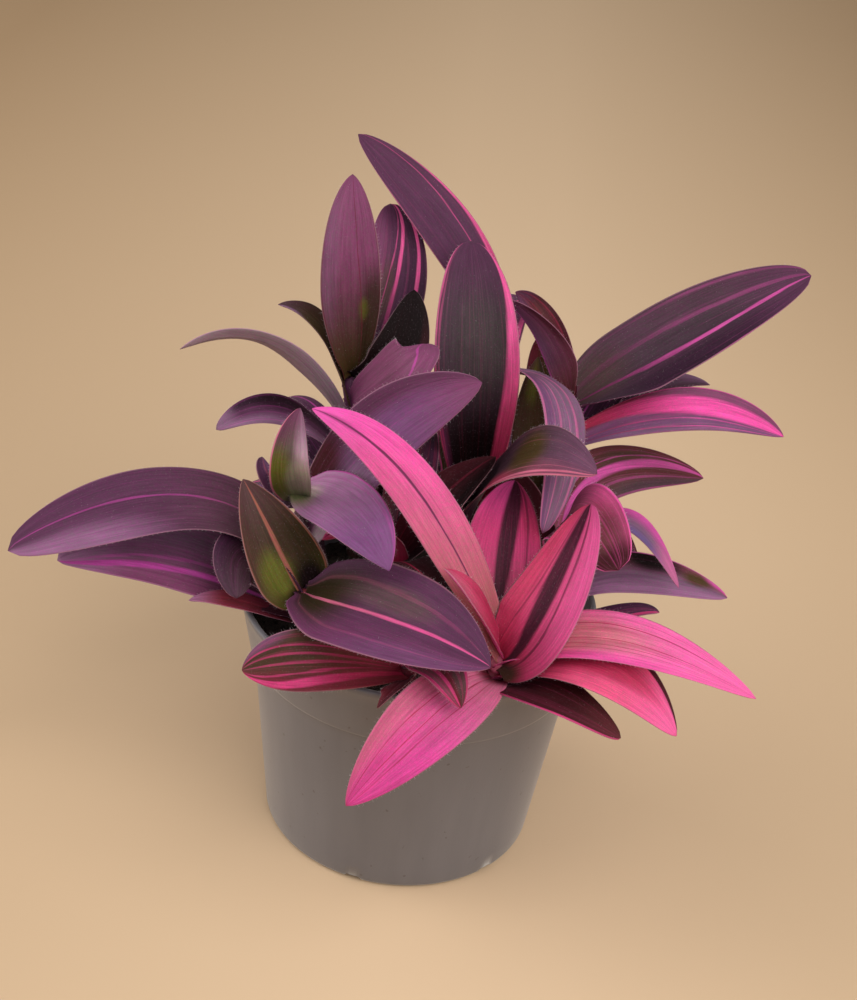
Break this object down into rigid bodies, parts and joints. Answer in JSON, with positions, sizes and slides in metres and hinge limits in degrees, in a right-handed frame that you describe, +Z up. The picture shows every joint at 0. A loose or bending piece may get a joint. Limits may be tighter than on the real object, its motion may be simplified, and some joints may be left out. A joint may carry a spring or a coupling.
{
  "type": "potted tradescantia plant",
  "caption": "Trailing house plant with long pointed channelled leaves, purple with pink stripes, on short upright shoots in a plain tapered nursery pot filled with dark peat.",
  "frame": {"origin": "centre of the pot's underside, on the surface that the pot stands on", "axes": "+Z up, along the pot's axis; -Y towards the seen front of the plant; +X to the viewer's right"},
  "size_m": [0.2533, 0.2089, 0.2173],
  "materials": {
    "pot": "matte, faint mould texture",
    "soil": "rough, crumbly",
    "leaf": "satin, purple with pink stripes, fine pale hairs at the edges"
  },
  "bodies": {
    "root": {"pot": "pot", "soil": "soil", "shoot_front": "leaf", "shoot_front_left": "leaf", "shoot_left": "leaf", "shoot_back_left": "leaf", "shoot_centre": "leaf", "shoot_right_back": "leaf", "shoot_right": "leaf", "shoot_low_front": "leaf", "shoot_middle": "leaf", "shoot_rear_left": "leaf", "shoot_rear": "leaf", "shoot_rear_right": "leaf"}
  },
  "joints": []
}
